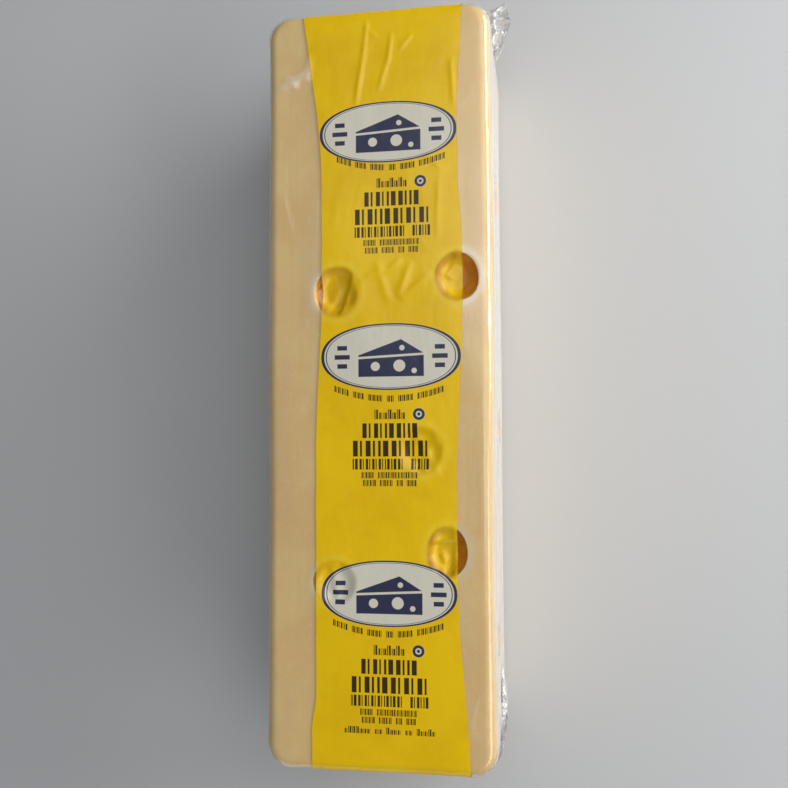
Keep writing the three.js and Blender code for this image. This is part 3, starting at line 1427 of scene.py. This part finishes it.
    def pleats(self, x: np.ndarray, z: np.ndarray) -> np.ndarray:
        """Gathers on an end face: they fan out from the seal and sharpen towards it.

        Args:
            x: Places across, in millimetres.
            z: Heights, in millimetres.

        Returns:
            Heights off the face in millimetres.
        """
        off = np.abs(z - self.block.middle / MM)
        fan = x / (1.0 + off * 0.012)
        above = np.where(z > self.block.middle / MM, 0.0, 40.0)
        places = np.stack([fan, above, off * 0.12], axis=1) * MM
        sharp = Crumple(51, 5.5 * MM, (1.0, 1.0, 1.0)).at(places) ** 1.5
        soft = Ripple(57, 19.0 * MM, (1.0, 1.0, 1.0)).at(places) * 0.5 + 0.5
        near = np.exp(-off / 20.0)
        corners = smooth_step(26.0, 46.0, np.abs(x)) * 0.8
        root = smooth_step(9.0, 0.0, off) * 1.1
        return (sharp * 1.1 + soft * 0.7) * (0.12 + near + corners * near) * 0.9 + root

    def on_top(self, x: np.ndarray, y: np.ndarray) -> np.ndarray:
        """The creases and slight puckers of the printed face.

        Args:
            x: Places across, in millimetres.
            y: Places along, in millimetres.

        Returns:
            Heights in millimetres.
        """
        lift = np.zeros(len(x))
        for crease in self.creases:
            lift = lift + crease.at(x, y)
        places = np.stack([x, y, np.zeros(len(x))], axis=1) * MM
        pucker = Crumple(71, 12.0 * MM, (1.0, 2.5, 1.0)).at(places)
        return lift + pucker * 0.05

    def eye_shares(self, points: np.ndarray, eye: Eye) -> tuple[np.ndarray, ...]:
        """Each point's place over an eye, as shares of the eye's half sizes.

        Args:
            points: Points on the skin.
            eye: The eye.

        Returns:
            Shares across and along it, whether each point is on its face, and the way into it.
        """
        place, _ = self.block.eye_middle(eye, self.film_inset)
        rel = points - np.array(place)
        if eye.face is Face.TOP:
            a, b, way = rel[:, 0], rel[:, 1], (0.0, 0.0, -1.0)
        elif eye.face in (Face.RIGHT, Face.LEFT):
            a, b = rel[:, 2], rel[:, 1]
            way = (-1.0 if eye.face is Face.RIGHT else 1.0, 0.0, 0.0)
        else:
            a, b = rel[:, 0], rel[:, 2]
            way = (0.0, -1.0 if eye.face is Face.HEAD else 1.0, 0.0)
        on_face = np.abs(rel @ np.array(way)) < 5.0 * MM
        return a / eye.half_width, b / eye.half_length, on_face, np.array(way)

    def dips(self, points: np.ndarray) -> tuple[np.ndarray, ...]:
        """How the film is drawn into the eyes.

        It clings to each eye's wall near the rim, then bridges the hollow in flat facets
        between sharp folds.

        Args:
            points: Points on the skin.

        Returns:
            Each point's move, then how strongly each point lies on an eye's wall, on the lifted
            ring round it and over its opening.
        """
        moves = np.zeros_like(points)
        walls = np.zeros(len(points))
        rings = np.zeros(len(points))
        opens = np.zeros(len(points))
        for i, eye in enumerate(EYES):
            a, b, on_face, way = self.eye_shares(points, eye)
            far = np.hypot(a, b) + 0.02 * Ripple(300 + i, 9.0 * MM, (1.0, 1.0, 1.0)).at(points)
            wall = eye.depth * np.sqrt(np.clip(1.0 - far**2, 0.0, 1.0)) - 0.4 * MM
            film = eye.dip * smooth_step(1.03, 0.5, far)
            for fold in eye.folds:
                film = film - fold.at(a, b)
            depth = np.clip(np.minimum(film, wall), 0.0, None) * on_face
            depth = depth * smooth_step(1.0, 0.86, far)
            moves += depth[:, None] * way
            # Painted shade mask: strongest where the film clings to the wall, uneven round the rim,
            # faint across the opening.
            strength = on_face * min(eye.dip / (3.2 * MM), 1.0) ** 1.5
            clings = smooth_step(0.56, 0.86, far) * smooth_step(1.06, 0.94, far)
            patchy = 0.2 * Ripple(320 + i, 30.0 * MM, (1.0, 1.0, 1.0)).at(points)
            uneven = 0.58 + patchy - 0.42 * a / np.maximum(far, 0.2)
            clings = clings * np.clip(uneven, 0.0, 1.0)
            inside = 0.12 * smooth_step(1.0, 0.9, far)
            walls = np.maximum(walls, np.maximum(clings, inside) * strength)
            # The lifted ring round each eye, marked to be painted paler as sheen.
            ring = smooth_step(1.0, 1.1, far) * smooth_step(1.4, 1.16, far)
            rings = np.maximum(rings, ring * on_face)
            opens = np.maximum(opens, smooth_step(1.03, 0.93, far) * on_face)
        return moves, walls, rings, opens

    def flat(self, seal: Seal) -> bpy.types.Object:
        """A flat seal of two layers of film across one end, with a crumpled ear at each corner.

        Args:
            seal: Its sizes.

        Returns:
            The seal.
        """
        block = self.block
        Mesher.deselect()
        bpy.ops.mesh.primitive_grid_add(
            x_subdivisions=seal.columns, y_subdivisions=seal.rows, size=2.0
        )
        piece = bpy.context.object
        piece.name = seal.name
        piece.data.name = seal.name
        unit = Mesher.points_of(piece)
        side, far_end, corner = block.half_width, block.half_length, block.corner
        frill = Ripple(seal.seed + 7, 14.0 * MM, (1.0, 1.0, 1.0)).at(unit * 0.05) * 0.1
        x = unit[:, 0] * (side + seal.ear * (0.9 + frill))
        t = (unit[:, 1] + 1.0) / 2.0
        past = np.clip((np.abs(x) - side) / seal.ear, 0.0, 1.0)
        round_in = np.clip((np.abs(x) - (side - corner)) / corner, 0.0, 1.0)
        near = far_end - corner + corner * np.sqrt(1.0 - round_in**2)
        behind = far_end - seal.ear_back + (seal.ear_tip + seal.ear_back) * past**1.4
        start = np.where(np.abs(x) < side, near - seal.tucked_in, behind)
        ragged = Ripple(seal.seed + 5, 26.0 * MM, (1.0, 1.0, 1.0)).at(unit * 0.05) * 0.8 * MM
        outer = side * 0.14 + seal.ear
        turn = np.clip((np.abs(x) - side - seal.ear + outer) / outer, 0.0, 1.0)
        drop = (seal.reach - seal.ear_tip) * (1.0 - np.sqrt(1.0 - turn**2))
        point = seal.point * np.exp(-(((x - side - 4.6 * MM) / (2.2 * MM)) ** 2))
        stop = far_end + seal.reach - drop + ragged + point
        stop = np.maximum(stop, start + 0.3 * MM)
        y = start + (stop - start) * t
        places = np.stack([x, y, np.full(len(x), block.middle)], axis=1)
        crumple = Crumple(seal.seed, 6.5 * MM, (1.0, 1.0, 1.0)).at(places)
        shards = Crumple(seal.seed + 3, 3.4 * MM, (1.0, 1.0, 1.0)).at(places)
        fold = Ripple(seal.seed + 9, 34.0 * MM, (1.0, 1.0, 1.0)).at(places)
        wide = smooth_step(side * 0.55, side, np.abs(x))
        loose = smooth_step(0.0, 6.0 * MM, y - start)
        z = block.middle + loose * (
            (crumple - 0.35) * (0.35 + 3.2 * wide) * MM
            + (shards - 0.35) * 1.4 * wide * MM
            + fold * (1.3 + 1.5 * wide) * MM
        )
        right_ear = smooth_step(side * 0.8, side, x)
        z = z - seal.droop * loose * t * t * (1.0 - right_ear)
        Mesher.move_to(piece, np.stack([x, y * seal.end, z], axis=1))
        bpy.ops.object.mode_set(mode="EDIT")
        bpy.ops.mesh.select_all(action="SELECT")
        if seal.end < 0:
            bpy.ops.mesh.flip_normals()
        bpy.ops.object.mode_set(mode="OBJECT")
        wall = piece.modifiers.new("layers", "SOLIDIFY")
        wall.thickness = seal.thickness
        wall.offset = 0.0
        Mesher.apply(piece)
        bpy.ops.object.shade_smooth()
        return piece


@dataclass
class Stage:
    """The worktop, the lights and the camera."""

    block: Block
    eye_place: Vector = field(default_factory=lambda: Vector((0.0677, -0.0199, 0.4822)))
    eye_aim: Vector = field(default_factory=lambda: Vector((0.0072, -0.0043, 0.099)))
    eye_up: Vector = field(default_factory=lambda: Vector((0.0122, 1.0, 0.0388)))
    lens: float = 40.75

    def build(self) -> None:
        """Builds the stage."""
        self.floor()
        bpy.context.scene.view_settings.view_transform = "Standard"
        bpy.context.scene.cycles.transparent_max_bounces = 16
        self.light("window", (0.9, 0.45, 0.4), 8.5, (1.0, 0.34), (1.0, 0.99, 0.975))
        self.light("low_window", (0.8, -0.5, 0.8), 3.0, (0.9, 0.3), (1.0, 0.99, 0.98))
        self.light("ceiling", (0.45, 0.4, 1.5), 7.2, (1.2, 1.2), (0.98, 0.99, 1.0))
        self.light("fill", (-0.35, -1.4, 0.42), 2.4, (1.2, 0.5), (0.96, 0.98, 1.0))
        world = bpy.data.worlds.new("studio")
        world.use_nodes = True
        world.node_tree.nodes["Background"].inputs[0].default_value = (0.9, 0.93, 1.0, 1.0)
        world.node_tree.nodes["Background"].inputs[1].default_value = 0.15
        bpy.context.scene.world = world
        self.camera()

    def floor(self) -> None:
        """A wide plain worktop just under the block."""
        Mesher.deselect()
        bpy.ops.mesh.primitive_plane_add(size=6.0, location=(0.0, 0.0, 0.0))
        piece = bpy.context.object
        piece.name = "worktop"
        piece.data.transform(Matrix.Translation((0.0, 0.0, -0.0003)))
        piece.data.materials.append(Worktop().material())

    def light(
        self,
        name: str,
        place: tuple[float, float, float],
        power: float,
        size: tuple[float, float],
        tint: tuple[float, float, float],
    ) -> None:
        """A soft rectangular light aimed at the block.

        Args:
            name: The light's name.
            place: Where it hangs.
            power: Its power in watts.
            size: Its width and height.
            tint: Its colour.
        """
        data = bpy.data.lights.new(name, "AREA")
        data.shape = "RECTANGLE"
        data.size, data.size_y = size
        data.energy = power
        data.color = tint
        lamp = bpy.data.objects.new(name, data)
        bpy.context.scene.collection.objects.link(lamp)
        lamp.location = place
        aim = Vector((0.0, 0.0, self.block.middle)) - Vector(place)
        lamp.rotation_euler = aim.to_track_quat("-Z", "Y").to_euler()

    def camera(self) -> None:
        """A camera nearly overhead, a little to the block's right."""
        data = bpy.data.cameras.new("camera")
        data.lens = self.lens
        data.clip_start = 0.01
        eye = bpy.data.objects.new("camera", data)
        bpy.context.scene.collection.objects.link(eye)
        back = (self.eye_place - self.eye_aim).normalized()
        right = self.eye_up.cross(back).normalized()
        up = back.cross(right)
        turn = Matrix((right, up, back)).transposed().to_4x4()
        eye.matrix_world = Matrix.Translation(self.eye_place) @ turn
        bpy.context.scene.camera = eye


def main() -> None:
    """Builds the stage and the wrapped block, and reports each piece."""
    logging.basicConfig(level=logging.INFO, format="%(name)s: %(message)s")
    block = Block.from_frame()
    Stage(block).build()
    cheese = Cheese(block)
    cheese.build()
    bag = Bag(block, cheese)
    bag.build()
    paste = CheesePaste().material()
    for piece in cheese.pieces:
        piece.data.materials.append(paste)
        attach(piece, "root")
        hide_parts("cheese_block")
        log.info("%s: %d vertices", piece.name, len(piece.data.vertices))
    sizes = (block.height / MM, block.half_length / MM)
    tight_film = PrintedFilm(*sizes, tight=True)
    seal_film = PrintedFilm(*sizes, tight=False, haze=0.3, shine=0.4)
    for piece in bag.pieces:
        film = tight_film if piece.name == "film_skin" else seal_film
        piece.data.materials.append(film.material())
        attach(piece, "root")
        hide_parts("shrink_bag")
        log.info("%s: %d vertices", piece.name, len(piece.data.vertices))


if __name__ == "__main__":
    main()
